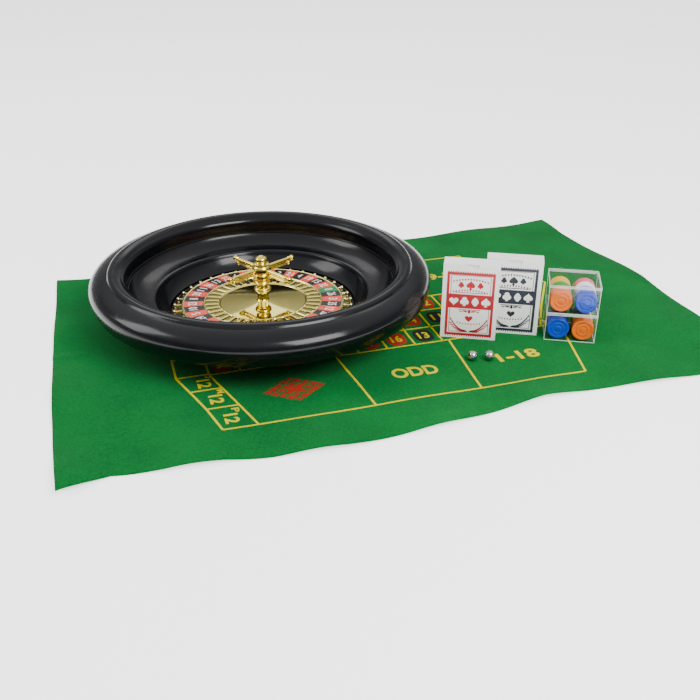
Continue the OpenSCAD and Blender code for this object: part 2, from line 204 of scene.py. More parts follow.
feltFinish = {
    "fixed": {"Sheen_Weight": 0.05, "Sheen_Roughness": 0.5, "Specular_IOR_Level": 0.08},
    "clouds": 9, "fibres": 420, "cloudShare": 0.45, "ends": (0.34, 0.5, 0.68), "bright": 1.35,
    "rough": (0.82, 0.98), "roughScale": 600, "nap": 1300, "tufts": 380, "napShare": 0.6, "depth": 0.0006,
}


# wool felt: fibres over clouds in three shades of one colour, with a dull sheen and matted relief
def feltMaterial(name, colour, vary, fuzz):
    look = feltFinish
    shade = material(name, **look["fixed"])
    clouds, fibres = shade.noise(look["clouds"], 4), shade.noise(look["fibres"], 4, 0.7)
    tone = shade.blend(clouds, fibres, look["cloudShare"])
    shades = (mixed(colour, vary), colour, mixed(colour, look["bright"]))
    shade.feed("Base Color", shade.ramp(tone, list(zip(look["ends"], shades))))
    shade.matt(shade.noise(look["roughScale"]), look["rough"])
    relief = shade.blend(shade.noise(look["nap"], 4, 0.7), shade.noise(look["tufts"]), look["napShare"])
    shade.bump(relief, fuzz, look["depth"])
    return shade.owner


mats["felt"] = feltMaterial("feltGreen", (0.0, 0.118, 0.019), 0.62, 0.35)
mats["feltYellow"] = feltMaterial("printYellow", (0.58, 0.5, 0.0), 0.8, 0.25)
mats["feltRed"] = feltMaterial("printRed", (0.34, 0.022, 0.008), 0.7, 0.25)
mats["feltBlack"] = feltMaterial("printBlack", (0.012, 0.014, 0.012), 0.7, 0.25)

paperFinish = {"colour": (0.95, 0.94, 0.92), "fibre": 260, "dark": 0.93, "sizing": 900,
               "rough": (0.38, 0.55), "tooth": 2200, "toothHigh": 0.06, "depth": 0.0002}


# coated card: faint fibres in the colour, and a fine tooth that catches the light
def paperMaterial(name):
    look = paperFinish
    shade = material(name, Coat_Weight=0.15, Coat_Roughness=0.3)
    shade.tint(shade.noise(look["fibre"], 5), look["colour"], look["dark"])
    shade.matt(shade.noise(look["sizing"], 2), look["rough"])
    shade.bump(shade.noise(look["tooth"], 2), look["toothHigh"], look["depth"])
    return shade.owner


deckFinish = {"card": 0.00032, "stops": [(0.15, (0.55, 0.53, 0.48)), (0.6, (0.86, 0.84, 0.79))],
              "wear": 500, "rough": (0.55, 0.7), "grooves": 0.4, "depth": 0.0001}


# edges of a pack of cards: the sine of the way through the pack gives one fine line per card
def deckMaterial(name):
    look = deckFinish
    shade = material(name)
    turn = math.radians(-standTurn)
    x, y = shade.node("ShaderNodeSeparateXYZ", None, [shade.place()], ("X", "Y"))
    through = (x * math.sin(turn) + y * math.cos(turn)) * (2 * math.pi / look["card"])
    line = through.math("SINE") * 0.5 + 0.5
    shade.feed("Base Color", shade.ramp(line, look["stops"]))
    shade.matt(shade.noise(look["wear"]), look["rough"])
    shade.bump(line, look["grooves"], look["depth"])
    return shade.owner


clearFinish = {"tint": (0.93, 0.99, 0.95), "dark": 0.9, "scuffs": 70, "scuffEnds": (0.45, 0.75),
               "rough": (0.04, 0.2), "blend": 0.25, "edge": 0.5, "hazeEnds": (0.55, 0.8),
               "haze": (0.015, 0.04)}


# clear styrene: the share of gloss is half the cube of how far the wall turns away, plus haze on scuffs,
# and the rest is seen through
def clearMaterial(name):
    look = clearFinish
    shade = material(name, Metallic=1.0)
    scuffs = shade.noise(look["scuffs"], 6, 0.65)
    shade.tint(scuffs, look["tint"], look["dark"])
    shade.feed("Roughness", shade.span(scuffs, *look["scuffEnds"], *look["rough"]))
    facing = shade.node("ShaderNodeLayerWeight", None, {"Blend": look["blend"]}, "Facing")
    haze = shade.span(scuffs, *look["hazeEnds"], *look["haze"])
    gloss = facing * facing * facing * look["edge"] + haze
    seen = shade.node("ShaderNodeBsdfTransparent")
    both = shade.node("ShaderNodeMixShader", None, [gloss, seen, Sock(shade, shade.shader.outputs[0])])
    shade.tree.links.new(both.out, shade.tree.nodes["Material Output"].inputs["Surface"])
    return shade.owner


mats["paper"] = paperMaterial("boxCard")
mats["deck"] = deckMaterial("packEdges")
mats["clear"] = clearMaterial("clearCase")
print("materials made:", len(mats))


# puts data into the scene as an object
def linked(name, data):
    thing = bpy.data.objects.new(name, data)
    bpy.context.scene.collection.objects.link(thing)
    return thing


# a mesh object from points in metres and faces, with one material
def made(name, points, faces, look, smooth=True):
    mesh = bpy.data.meshes.new(name)
    mesh.from_pydata(np.asarray(points).tolist(), [], faces if isinstance(faces, list) else faces.tolist())
    mesh.materials.append(look)
    mesh.polygons.foreach_set("use_smooth", np.full(len(mesh.polygons), smooth))
    mesh.update()
    return linked(name, mesh)


# quads of a grid of rows by cols points; a wrapped direction joins its last line to its first
def quads(rows, cols, wrapRow=False, wrapCol=False):
    i = np.arange(rows if wrapRow else rows - 1)[:, None]
    j = np.arange(cols if wrapCol else cols - 1)[None, :]
    a, b = i * cols + j, i * cols + (j + 1) % cols
    c, d = ((i + 1) % rows) * cols + (j + 1) % cols, ((i + 1) % rows) * cols + j
    return np.stack([a, b, c, d], -1).reshape(-1, 4)


# n points of the quadratic curve a to c with control b, after its first: (1-t)^2 a + 2 t (1-t) b + t^2 c
def bend(a, b, c, n):
    t = (np.arange(n) + 1)[:, None] / n
    a, b, c = (np.array(p, float) for p in (a, b, c))
    return (1 - t) ** 2 * a + 2 * t * (1 - t) * b + t ** 2 * c


# full turn of a profile of (radius, height) in mm: (r cos t, r sin t, z)
def turned(profile, n, closed=True):
    p = np.asarray(profile, float) * mm
    t = np.arange(n) * 2 * np.pi / n
    high = np.repeat(p[:, None, 1], n, 1)
    points = np.stack([p[:, None, 0] * np.cos(t), p[:, None, 0] * np.sin(t), high], -1)
    return points.reshape(-1, 3), quads(len(p), n, closed, True)


# several (points, faces) pairs as one
def joined(chunks):
    points, faces, start = [], [], 0
    for p, f in chunks:
        points.append(np.asarray(p))
        faces += [[k + start for k in face] for face in (f.tolist() if hasattr(f, "tolist") else f)]
        start += len(p)
    return np.concatenate(points), faces


# the first two coordinates turned by degrees: (x cos - y sin, x sin + y cos); a third one stays
def rotated(points, degrees):
    c, s = math.cos(math.radians(degrees)), math.sin(math.radians(degrees))
    points = np.array(points, float)
    points[..., :2] = points[..., :2] @ np.array([[c, s], [-s, c]])
    return points


# copies of some chunks at even steps round the upright axis
def spun(chunks, count, start=0.0):
    return [(rotated(p, start + 360 * k / count), f) for k in range(count) for p, f in chunks]


# the step from 0 to 1: t^2 (3 - 2 t), with t held to 0..1
def smoothStep(value):
    t = np.clip(value, 0, 1)
    return t * t * (3 - 2 * t)


# superellipse: the sign of the cosine and sine times a power of their size
def oval(wide, high, power, count):
    t = np.linspace(0, 2 * np.pi, count, endpoint=False)
    c, s = np.cos(t), np.sin(t)
    return np.stack([np.sign(c) * np.abs(c) ** power * wide, np.sign(s) * np.abs(s) ** power * high], -1)


# one face through all the points of a flat outline
def outline(points):
    return points, [list(range(len(points)))]


wordCache = {}


# flat outline of a word in a unit font size, centred on its box
def word(text, bold):
    if (text, bold) not in wordCache:
        curve = bpy.data.curves.new("word", "FONT")
        curve.body = text
        curve.offset = bold
        curve.resolution_u = 5
        holder = linked("word", curve)
        mesh = bpy.data.meshes.new_from_object(holder.evaluated_get(bpy.context.evaluated_depsgraph_get()))
        flat = np.zeros(len(mesh.vertices) * 3)
        mesh.vertices.foreach_get("co", flat)
        points = flat.reshape(-1, 3)[:, :2]
        points = points - (points.min(0) + points.max(0)) / 2
        wordCache[text, bold] = points, [list(p.vertices) for p in mesh.polygons]
        bpy.data.objects.remove(holder)
        bpy.data.curves.remove(curve)
        bpy.data.meshes.remove(mesh)
    return wordCache[text, bold]


# a word scaled to a width and a height, then turned by degrees
def sized(text, wide, high, turn, bold):
    points, faces = word(text, bold)
    box = points.max(0) - points.min(0)
    return rotated(points * np.array([wide, high]) / box, turn), faces


# sets a finished piece on its body, in place of the nodes it stands for
def ridden(piece, body, replaced=(), sharp=None):
    if sharp:
        piece.data.set_sharp_from_angle(angle=math.radians(sharp))
    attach(piece, body)
    if replaced:
        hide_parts(*replaced)


# camera, from the fit to the photograph
cameraSpec = {"at": (-0.18585, -0.94781, 0.46222), "heading": 17.336, "pitch": 28.014, "lens": 44.885,
              "sensor": 36}
cameraData = bpy.data.cameras.new("camera")
cameraData.lens = cameraSpec["lens"]
cameraData.sensor_width = cameraSpec["sensor"]
cameraData.clip_end = 30
camera = linked("camera", cameraData)
camera.location = cameraSpec["at"]
camera.rotation_euler = (math.radians(90 - cameraSpec["pitch"]), 0, -math.radians(cameraSpec["heading"]))
bpy.context.scene.camera = camera

# the sky is bright overhead and darkest some 20 degrees up, so that gold and gloss have something to mirror
lightSpec = {
    "boxes": [("keyLight", (0.6, -1.25, 1.35), (0.2, -0.15, 0), (1.0, 0.9), 40),
              ("leftLight", (-1.7, 0.5, 1.3), (0, 0, 0), (0.9, 1.2), 22),
              ("backLight", (0.4, 1.9, 1.6), (0, 0, 0), (1.8, 0.8), 7)],
    "world": 1.15, "sky": [(0.0, 0.42), (0.36, 0.24), (0.75, 1.0)],
}


# a soft rectangular lamp that looks from one place towards another
def softbox(name, at, toward, size, watts):
    data = bpy.data.lights.new(name, "AREA")
    data.shape = "RECTANGLE"
    data.size, data.size_y = size
    data.energy = watts
    lamp = linked(name, data)
    lamp.location = at
    way = np.array(toward, float) - np.array(at, float)
    tilt = math.acos(-way[2] / np.linalg.norm(way))
    lamp.rotation_euler = (tilt, 0, math.atan2(way[1], way[0]) - math.pi / 2)


for lampValues in lightSpec["boxes"]:
    softbox(*lampValues)
sky = Shade(bpy.data.worlds.new("studio"), "Background", Strength=lightSpec["world"])
upward = sky.node("ShaderNodeTexCoord", out="Generated")
height = sky.node("ShaderNodeSeparateXYZ", None, [upward], "Z")
sky.feed("Color", sky.ramp(height, [(at, (level,) * 3) for at, level in lightSpec["sky"]]))
bpy.context.scene.world = sky.owner

floorSpec = {"half": 8, "z": -0.0004, "greys": (0.9, 0.92),
             "fixed": {"Roughness": 0.8, "Emission_Color": (1, 1, 1, 1), "Emission_Strength": 1.5}}
floorShade = material("floorPale", **floorSpec["fixed"])
floorStops = [(at, (grey,) * 3) for at, grey in zip(noiseEnds, floorSpec["greys"])]
floorShade.feed("Base Color", floorShade.ramp(floorShade.noise(3, 2), floorStops))
floorCorners = np.array([(-1, -1, 0), (1, -1, 0), (1, 1, 0), (-1, 1, 0)], float) * floorSpec["half"]
floor = made("floor", floorCorners + np.array([0, 0, floorSpec["z"]]), [[0, 1, 2, 3]], floorShade.owner)
print("camera, floor and light set")

# felt: edges as (x, y) points that run left to right, and as (y, x) points that run near to far
feltSpec = {
    "flat": (0.73, 0.476), "cells": (236, 150), "top": 0.95, "thick": 0.9, "lowest": 0.02,
    "near": [(-247, -300), (-200, -284), (-153, -290), (-100, -292), (-55, -299), (15, -303), (80, -299),
             (136, -293), (232, -279), (300, -279), (350, -284), (495, -288)],
    "far": [(-239, 173), (-120, 177), (0, 181), (120, 183), (253, 185), (370, 190), (483, 196)],
    "left": [(-300, -247), (-220, -249), (-154, -249), (-42, -247), (60, -243), (173, -239)],
    "right": [(-288, 494), (-160, 500), (-41, 505), (40, 496), (136, 483), (196, 483)],
    # x, y and radius of the spots where something stands, and how far the waves take to rise round them
    "flatSpots": [(0, 0, 150), (216, -118, 52), (267, -121, 52), (335, -146, 62), (194, -183, 20),
                  (212, -188, 20)],
    "fade": 60, "swell": 1.3,
    # ripples at the edges: across which axis, from, full after, half height, along which axis, rate, phase
    "ripples": [(1, -222, -70, 1.8, 0, 0.052, 2.0), (0, -190, -60, 1.5, 1, 0.043, 0.6),
                (0, 390, 100, 1.6, 1, 0.036, 2.2), (1, 120, 70, 1.2, 0, 0.04, 0.0)],
    "crease": {"high": 1.1, "y": -42, "slant": 0.03, "wide": 5.0, "from": -205, "fade": -20},
}


# height of the felt's top in mm at (x, y) in mm: level under what stands on it, elsewhere a product of two
# slanted sines, with sine ripples that grow towards each edge and one crease from the left
def feltTop(x, y):
    free = np.ones_like(x)
    for cx, cy, r in feltSpec["flatSpots"]:
        free = free * smoothStep((np.hypot(x - cx, y - cy) - r) / feltSpec["fade"])
    low = 0.5 + 0.5 * np.sin(x * 0.031 + 1.1 + 0.012 * y) * np.sin(y * 0.024 + 0.4 - 0.006 * x)
    ripple = 0
    for across, start, run, half, along, rate, phase in feltSpec["ripples"]:
        rise = smoothStep(((x, y)[across] - start) / run)
        ripple = ripple + rise * (half + half * np.sin((x, y)[along] * rate + phase))
    fold = feltSpec["crease"]
    away = (y - fold["y"] + fold["slant"] * (x - feltSpec["near"][0][0])) / fold["wide"]
    crease = fold["high"] * np.exp(-away ** 2) * smoothStep((x - fold["from"]) / fold["fade"])
    return feltSpec["top"] + free * (feltSpec["swell"] * low + ripple) + crease


# the felt's grid: each column runs straight from the near to the far edge, then each row is stretched to
# the left and right edges; one more ring round it is turned down by the cloth's thickness
def feltGrid():
    nu, nv = feltSpec["cells"]
    u, v = np.meshgrid(np.linspace(0, 1, nu), np.linspace(0, 1, nv))
    near, far, left, right = (np.array(feltSpec[k], float) for k in ("near", "far", "left", "right"))
    alongX = near[0, 0] + u * (near[-1, 0] - near[0, 0])
    nearLine = np.interp(alongX, *near.T)
    y = nearLine + v * (np.interp(alongX, *far.T) - nearLine)
    leftLine = np.interp(y, *left.T)
    x = leftLine + u * (np.interp(y, *right.T) - leftLine)
    grid = np.pad(np.stack([x, y, feltTop(x, y)], -1), ((1, 1), (1, 1), (0, 0)), mode="edge")
    hem = np.ones(grid.shape[:2], bool)
    hem[1:-1, 1:-1] = False
    grid[hem, 2] = np.maximum(grid[hem, 2] - feltSpec["thick"], feltSpec["lowest"])
    return grid.reshape(-1, 3), quads(nv + 2, nu + 2)


feltPoints, feltFaces = feltGrid()
felt = made("felt_sheet", feltPoints * mm, feltFaces, mats["felt"])
ridden(felt, "felt", ["felt_layout"])
print("felt:", len(feltPoints), "points")

# the print's grid in mm; y of its rows, x of its columns before they fan out
printSpec = {
    "line": 2.4, "lift": 0.16, "patchLift": 0.12, "figureLift": 0.2, "step": 5.0,
    "fan": 0.00152, "fanX": 118, "fanEnd": -130, "near": -242, "far": 103, "rows": (-130, -92, -48, -10),
    "left": -93, "first": -58, "boxes": (62, 178), "right": 300, "gridRight": 287, "farRight": 276,
    "dozens": [(-93, -242), (-102, -200), (-113, -161), (-123, -128), (-122.5, -87), (-121, 103)],
    "dozenRows": (-200, -161, -128, -87, -48, -10, 28, 66, 103),
    "zero": [(306, -130), (334, -80), (374, -16), (305, 68)],
    "cell": (11.5, 14.5), "cellPower": 0.7, "cellPoints": 28, "digit": (6.5, 15), "digitBold": 0.02,
}


# the near boxes fan out away from the players: x = 118 + (u - 118)(1 + 0.00152 (y + 242)), up to y = -130
def fanned(points):
    p = np.asarray(points, float)
    deep = np.minimum(p[..., 1], printSpec["fanEnd"]) - printSpec["near"]
    x = printSpec["fanX"] + (p[..., 0] - printSpec["fanX"]) * (1 + printSpec["fan"] * deep)
    return np.stack([x, p[..., 1]], -1)


# flat points in mm raised to the felt's top and a little more, in metres
def onFelt(p, lift=printSpec["lift"]):
    z = feltTop(p[..., 0], p[..., 1]) + lift
    return np.concatenate([p, z[..., None]], -1) * mm


# a strip of even width: points every few mm along a polyline, moved half the width to each side
def strip(points, fan=True):
    p = fanned(points) if fan else np.asarray(points, float)
    gaps = np.linalg.norm(np.diff(p, axis=0), axis=1)
    run = np.concatenate([[0], np.cumsum(gaps)])
    even = np.linspace(0, run[-1], max(2, int(run[-1] / printSpec["step"])))
    at = np.unique(np.concatenate([run, even]))
    q = np.stack([np.interp(at, run, p[:, k]) for k in (0, 1)], -1)
    way = np.gradient(q, axis=0)
    way /= np.maximum(np.linalg.norm(way, axis=1, keepdims=True), 1e-9)
    aside = np.stack([-way[:, 1], way[:, 0]], -1) * printSpec["line"] / 2
    rows = np.stack([onFelt(q + aside * k) for k in (-1, 0, 1)], 1)
    return rows.reshape(-1, 3), quads(len(q), 3)[:, ::-1]


# all lines of the layout: the outer boxes, the number grid, the dozens on the left and the zero's point
def layoutLines(columns):
    g = printSpec
    near, far, first, right, row = (g[k] for k in ("near", "far", "first", "right", "rows"))
    grid, farRight = g["gridRight"], g["farRight"]
    lines = [[(g["left"], near), (right, near)], [(first, near), (first, row[0]), (first, far)],
             [(right, near), (right, row[0])], [(first, far), (farRight, far)],
             [(farRight, row[3]), (farRight, far)], [(first, row[0]), (right, row[0])],
             [(first, row[3]), (grid, row[3])]]
    lines += [[(box, near), (box, row[0])] for box in g["boxes"]]
    lines += [[(box, row[3]), (box, far)] for box in g["boxes"]]
    lines += [[(first, y), (grid, y)] for y in row[1:3]]
    lines += [[(x, row[0]), (x, row[3])] for x in columns[1:]]
    dozenX, dozenY = np.array(g["dozens"], float).T
    across = [[(np.interp(y, dozenY, dozenX), y), fanned((first, y))] for y in g["dozenRows"]]
    spread = [strip(line) for line in lines]
    return spread + [strip(line, False) for line in [g["dozens"], *across, g["zero"]]]


columnX = np.linspace(printSpec["first"], printSpec["gridRight"], 13)
linePiece = made("felt_lines", *joined(layoutLines(columnX)), mats["feltYellow"])

# words with the place of their middle, width and height in mm, and their turn in degrees
wordSpec = {
    "words": [("ODD", 124, -189, 52, 20, 0), ("1-18", 247, -187, 50, 19, 0), ("EVEN", 128, 44, 62, 20, 0),
              ("19-36", 252, 44, 58, 19, 0), ("0", 336, -28, 13, 20, 0)],
    "dozens": [("P", -80, -221), ("M", -88, -180), ("D", -95, -144), ("D", -108, 8), ("M", -108, 46),
               ("P", -108, 84)],
    "bold": 0.03,
}
# in each dozen's box a small raised letter stands over a large 12, and both read from the left
for letter, x, y in wordSpec["dozens"]:
    wordSpec["words"] += [(letter, x + 5.5, y + 12, 8, 7.5, -90), ("12", x - 1, y - 3, 18, 14.5, -90)]
chunks = []
for text, x, y, wide, high, turn in wordSpec["words"]:
    p, f = sized(text, wide, high, turn, wordSpec["bold"])
    chunks.append((onFelt(p + np.array([x, y])), f))
wordPiece = made("felt_words", *joined(chunks), mats["feltYellow"])

# number cells: a rounded patch of red or black with its number in yellow, three to a column from the right
redNumbers = {1, 3, 5, 7, 9, 12, 14, 16, 18, 19, 21, 23, 25, 27, 30, 32, 34, 36}
cell = oval(*printSpec["cell"], printSpec["cellPower"], printSpec["cellPoints"])
redPatches, blackPatches, figures = [], [], []
for column in range(12):
    for row in range(3):
        number = (11 - column) * 3 + row + 1
        rowY = printSpec["rows"][row:row + 2]
        centre = fanned([(columnX[column] + columnX[column + 1]) / 2, sum(rowY) / 2])
        patches = redPatches if number in redNumbers else blackPatches
        patches.append(outline(onFelt(cell + centre, printSpec["patchLift"])))
        wide, high = printSpec["digit"]
        p, f = sized(str(number), wide * len(str(number)), high, 0, printSpec["digitBold"])
        figures.append((onFelt(p + centre, printSpec["figureLift"]), f))

ornamentSpec = {"places": [(-8, -185), (-14, 44)], "wide": 66, "high": 48, "count": 5, "spread": 4.6,
                "middle": 0.26, "odd": 0.235, "even": 0.19, "fill": 0.82, "bow": 0.10,
                "petals": 8, "petal": (2.1, 1.6), "ring": (5.0, 4.0), "petalBox": (62, 46), "layer": 0.004}


# a diamond whose sides bow in: straight sides scaled by 1 minus a tenth of a half sine along each
def lozenge(x, y, wide, high):
    corner = np.array([(-wide, 0), (0, -high), (wide, 0), (0, high)]) / 2
    t = np.linspace(0, 1, 9)[:-1, None]
    edge = np.concatenate([corner[k] * (1 - t) + corner[(k + 1) % 4] * t for k in range(4)])
    inward = 1 - ornamentSpec["bow"] * np.sin(np.tile(t, (4, 1)) * np.pi)
    return edge * inward + np.array([x, y])


# an open diamond: a slanted grid of lozenges, with a rosette in the middle
def ornament(cx, cy):
    g = ornamentSpec
    wide, high, centre = g["wide"], g["high"], g["count"] // 2
    shapes = []
    for i in range(g["count"]):
        for k in range(g["count"]):
            a, b = (i - centre) / g["spread"], (k - centre) / g["spread"]
            size = g["middle"] if i == k == centre else g["odd"] if (i + k) % 2 else g["even"]
            size *= g["fill"]
            x, y = cx + (a - b) * wide / 2, cy + (a + b) * high / 2
            shapes.append(lozenge(x, y, wide * size, high * size))
    scale = np.array([wide, high]) / np.array(g["petalBox"])
    for k in range(g["petals"]):
        way = k * 2 * np.pi / g["petals"]
        petal = oval(*g["petal"], 1, 32) + np.array(g["ring"]) * np.array([math.cos(way), math.sin(way)])
        shapes.append(petal * scale + np.array([cx, cy]))
    lifts = printSpec["patchLift"] + g["layer"] * np.arange(len(shapes))
    return [outline(onFelt(shape, lift)) for shape, lift in zip(shapes, lifts)]


redPatches += ornament(*ornamentSpec["places"][0])
blackPatches += ornament(*ornamentSpec["places"][1])
redPrint = made("felt_red_print", *joined(redPatches), mats["feltRed"])
blackPrint = made("felt_black_print", *joined(blackPatches), mats["feltBlack"])
figurePiece = made("felt_numbers", *joined(figures), mats["feltYellow"])
feltPieces = [linePiece, wordPiece, redPrint, blackPrint, figurePiece]
for piece in feltPieces:
    ridden(piece, "felt")
print("felt print:", len(feltPieces), "pieces")

# bowl: the upper face of its section from the cone's foot out to the skirt, then the underside back in
bowlSpec = {"turn": 288, "sharp": 38, "track": [(128, 34.5), (147, 35.5), (155.5, 48)], "crest": (171, 73),
            "lip": (200, 54)}
trackIn, trackLow, trackOut = bowlSpec["track"]
crest, lip = bowlSpec["crest"], bowlSpec["lip"]
bowlFace = [(111.5, 7.5), (111.5, 16), *bend((111.5, 16), (118, 20), (124.5, 30), 10), (125.2, 32.6),
            (126.4, 34.0), trackIn, *bend(trackIn, trackLow, trackOut, 20), (156.6, 48.3), (157.8, 48.4),
            (158.4, 49), (158.5, 50), (158.5, 52.4), (157.9, 52.9), (157, 53.4), (157, 57), (157, 62),
            *bend((157, 62), (158, 66), (161.5, 68), 8), *bend((161.5, 68), (166, 73), crest, 12),
            *bend(crest, (175, 73), (177, 70.8), 8), (177.6, 69.8), (178.2, 69.2), (178.8, 69.2),
            (179.2, 69.4), *bend((179.2, 69.4), (197, 66), lip, 20),
            *bend(lip, (200.2, 43), (195.5, 35.5), 10)]
bowlBack = [(193, 35.5), *bend((193, 36), (196, 44), (196.5, 53), 6),
            *bend((196.5, 53), (194, 62.5), (178, 65), 8), (171, 69.8), (164, 65), (161.5, 61), (161.5, 44),
            *bend((161.5, 44), (148, 31.5), (128, 30.5), 8),
            *bend((128, 30.5), (120, 17), (114.5, 12.5), 4), (114.5, 5), (12, 5), (12, 7.5)]
bowlPoints, bowlFaces = turned(np.array(bowlFace + bowlBack), bowlSpec["turn"])
bowl = made("bowl_skin", bowlPoints, bowlFaces[:, ::-1], mats["blackBowl"])
ridden(bowl, "bowl", ["bowl_shell"], bowlSpec["sharp"])
print("bowl:", len(bowlPoints), "points")

# number ring: the usual order of a wheel with one zero, each number in the middle of its cell
wheelOrder = [0, 32, 15, 19, 4, 21, 2, 25, 17, 34, 6, 27, 13, 36, 11, 30, 8, 23, 10, 5, 24, 16, 33, 1, 20,
              14, 31, 9, 22, 18, 29, 7, 28, 12, 35, 3, 26]
ringSpec = {"radius": 84.5, "high": 10.5, "digitWide": 4.6, "tuck": 0.6, "bold": 0.015, "z": 20.05}
pockets = len(wheelOrder)
chunks = []
for i, number in enumerate(wheelOrder):
    angle = (i + 0.5) * 360 / pockets
    text = str(number)
    wide = ringSpec["digitWide"] * len(text) - (ringSpec["tuck"] if len(text) > 1 else 0)
    p, f = sized(text, wide, ringSpec["high"], angle - 90, ringSpec["bold"])
    p = p + rotated([ringSpec["radius"], 0], angle)
    chunks.append((np.insert(p, 2, ringSpec["z"], axis=1) * mm, f))
digitPiece = made("ring_digits", *joined(chunks), mats["digitWhite"], False)
ridden(digitPiece, "rotor")
print("ring digits:", pockets)

# turret: a fluted column, one turned stack above it, and four cast arms
turretSpec = {"turn": 96, "sharp": 40, "flutes": 12, "fluteDepth": 0.7, "flutePower": 0.7, "plain": 6.7,
              "fluted": (22.2, 31.8), "fade": 1.0, "armZ": 61.0, "armTurn": 28.7, "reach": 47.8, "rod": 2.5,
              "ball": 3.5, "neck": 1.7, "lowRod": 1.6, "lowBall": 2.5, "lowNeck": 1.1, "drop": 4.7,
              "web": 0.6, "webFrom": 9, "scallop": 0.5}
columnProfile = [(4.6, 18.4), (10, 18.4), (10.2, 18.9), (9.9, 19.6), (8.8, 20.2), (8.3, 21.0), (7.0, 21.7),
                 (6.7, 22.4), *[(6.7, 22.9 + 0.55 * k) for k in range(16)], (6.9, 31.8), (7.6, 32.2),
                 (7.8, 33), (4.6, 33)]
stackProfile = [(0.02, 35.8), (4.6, 35.8), (4.6, 33), (8.4, 33),
                *bend((8.4, 33), (12.6, 36), (8.6, 38.4), 12), (7.6, 38.7), (6.2, 39), (5.2, 39.2),
                (4.8, 40.2), *bend((4.8, 40.2), (10.4, 42), (10.0, 50), 12), (10.5, 50.3), (10.7, 51),
                (10.5, 51.7), (9.4, 52.4), (8.6, 53), *bend((8.6, 53), (11.6, 54.5), (11.3, 59.5), 8),
                *bend((11.3, 59.5), (11.3, 64.5), (8.4, 65.8), 8), (8.2, 66.2), (9.1, 66.5), (9.5, 67.2),
                (9.2, 68.0), (8.0, 68.5), (6.5, 68.8), (6.1, 69.4), (6.3, 70.2), (7.0, 70.6), (7.4, 71.4),
                (7.4, 72.6), *bend((7.4, 72.6), (7.2, 75.6), (3.8, 76.4), 8), (3.4, 76.7),
                *bend((3.4, 76.7), (3.0, 77.7), (0.02, 77.7), 5)]


# the column's outer radius dips by a power of half one plus the cosine of twelve times the angle, and the
# flutes fade out at both ends
def flutedColumn():
    g = turretSpec
    points, faces = turned(columnProfile, g["turn"] * 2)
    x, y, z = points.T / mm
    low, high = g["fluted"]
    inFlute = smoothStep((z - low) / g["fade"]) * smoothStep((high - z) / g["fade"])
    wave = (0.5 + 0.5 * np.cos(g["flutes"] * np.arctan2(y, x))) ** g["flutePower"]
    dip = 1 - (np.hypot(x, y) > 6) * inFlute * g["fluteDepth"] / g["plain"] * wave
    points[:, :2] *= dip[:, None]
    return points, faces


# a turned rod laid along x at a height, from its profile of (radius, distance out)
def rod(profile, z):
    p, f = turned(profile, 32, False)
    return p[:, [2, 0, 1]] + np.array([0, 0, z * mm]), f


# the ball at a rod's end: radius r sin t at distance x - r cos t, from where it meets the neck
def ballEnd(x, r, neck):
    t = np.linspace(math.asin(neck / r), np.pi - 0.05, 14)
    return list(zip(r * np.sin(t), x - r * np.cos(t)))


# one arm: a large and a small rod with ball ends, and a thin web between them with a scalloped foot
def armChunks():
    g = turretSpec
    big, small, reach, lowZ = g["rod"], g["lowRod"], g["reach"], g["armZ"] - g["drop"]
    upper = [(big, 7), (big, 16), (big * 0.97, 24), (big * 0.9, 38), (big * 0.86, reach - 6),
             (big * 1.15, reach - 5.4), (big * 1.15, reach - 4.4), (g["neck"], reach - 3.8),
             *ballEnd(reach, g["ball"], g["neck"])]
    lower = [(small, 9), (small, 24), (small * 0.92, reach - 9), (g["lowNeck"], reach - 7.4),
             *ballEnd(reach - 5.2, g["lowBall"], g["lowNeck"])]
    x, top = np.meshgrid(np.linspace(g["webFrom"], reach - 8, 40), np.array([0, 1, 1, 0]))
    side = np.array([-1, -1, 1, 1])[:, None] * g["web"] + 0 * x
    z = np.where(top > 0, g["armZ"], lowZ + g["scallop"] * np.abs(np.sin(x * 0.35)))
    web = (np.stack([x, side, z], -1).reshape(-1, 3) * mm, quads(4, 40, True)[:, ::-1])
    return [rod(upper, g["armZ"]), rod(lower, lowZ), web]


turretParts = [
    ("turret_fluted_column", flutedColumn(), ["turret_column"]),
    ("turret_cast_arms", joined(spun(armChunks(), 4, turretSpec["armTurn"])), ["turret_arms"]),
    ("turret_stack", turned(stackProfile, turretSpec["turn"], False),
     ["turret_collar", "turret_goblet", "turret_hub", "turret_neck", "turret_cap"]),
]
for name, (p, f), replaced in turretParts:
    ridden(made(name, p, f, mats["polishedGold"]), "rotor", replaced, turretSpec["sharp"])

dishSpec = {"samples": pockets * 18, "in": 8.0, "smooth": 51.0, "flat": 51.5, "low": 18.9, "rise": 2.9,
            "band": 19.55, "bead": 52.6, "beadHigh": 0.55, "under": 17.02, "rib": 1.15, "crown": 0.25,
            "gapFrom": 0.55, "sharp": 50}


